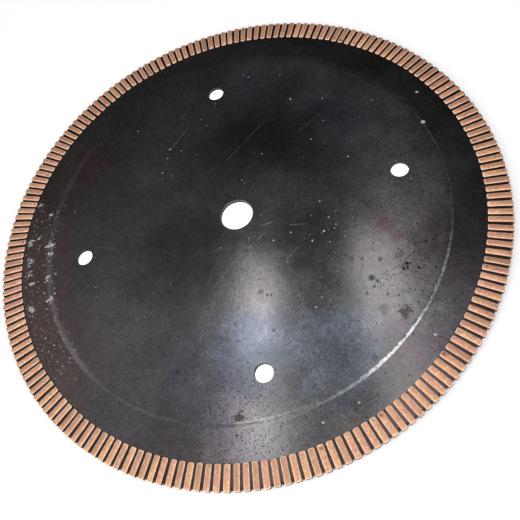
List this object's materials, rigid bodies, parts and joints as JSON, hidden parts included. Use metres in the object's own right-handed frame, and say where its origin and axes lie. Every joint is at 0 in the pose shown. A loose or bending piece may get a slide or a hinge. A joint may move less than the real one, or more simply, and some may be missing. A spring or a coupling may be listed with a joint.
{
  "type": "diamond blade",
  "caption": "Round diamond saw blade: flat dark steel core with a central arbor hole, a ring of pin holes and a slightly raised middle, edged with narrow radial bars of copper-coloured bond.",
  "frame": {"origin": "centre of the arbor hole, at mid thickness", "axes": "+Z along the blade's axis, normal to its face; +X and +Y pass through pin holes"},
  "size_m": [0.4, 0.4, 0.004],
  "materials": {
    "core_steel": "satin black oxide on ground steel, slightly scuffed and stained",
    "diamond_bond": "dressed copper-bronze powder metal, satin, fine grit"
  },
  "bodies": {
    "root": {"steel_core": "core_steel", "rim_segment_01": "diamond_bond", "rim_segment_02": "diamond_bond", "rim_segment_03": "diamond_bond", "rim_segment_04": "diamond_bond", "rim_segment_05": "diamond_bond", "rim_segment_06": "diamond_bond", "rim_segment_07": "diamond_bond", "rim_segment_08": "diamond_bond", "rim_segment_09": "diamond_bond", "rim_segment_10": "diamond_bond", "rim_segment_11": "diamond_bond", "rim_segment_12": "diamond_bond", "rim_segment_13": "diamond_bond", "rim_segment_14": "diamond_bond", "rim_segment_15": "diamond_bond", "rim_segment_16": "diamond_bond", "rim_segment_17": "diamond_bond", "rim_segment_18": "diamond_bond", "rim_segment_19": "diamond_bond", "rim_segment_20": "diamond_bond", "rim_segment_21": "diamond_bond", "rim_segment_22": "diamond_bond", "rim_segment_23": "diamond_bond", "rim_segment_24": "diamond_bond", "rim_segment_25": "diamond_bond", "rim_segment_26": "diamond_bond", "rim_segment_27": "diamond_bond", "rim_segment_28": "diamond_bond", "rim_segment_29": "diamond_bond", "rim_segment_30": "diamond_bond", "rim_segment_31": "diamond_bond", "rim_segment_32": "diamond_bond", "rim_segment_33": "diamond_bond", "rim_segment_34": "diamond_bond", "rim_segment_35": "diamond_bond", "rim_segment_36": "diamond_bond", "rim_segment_37": "diamond_bond", "rim_segment_38": "diamond_bond"}
  },
  "joints": []
}
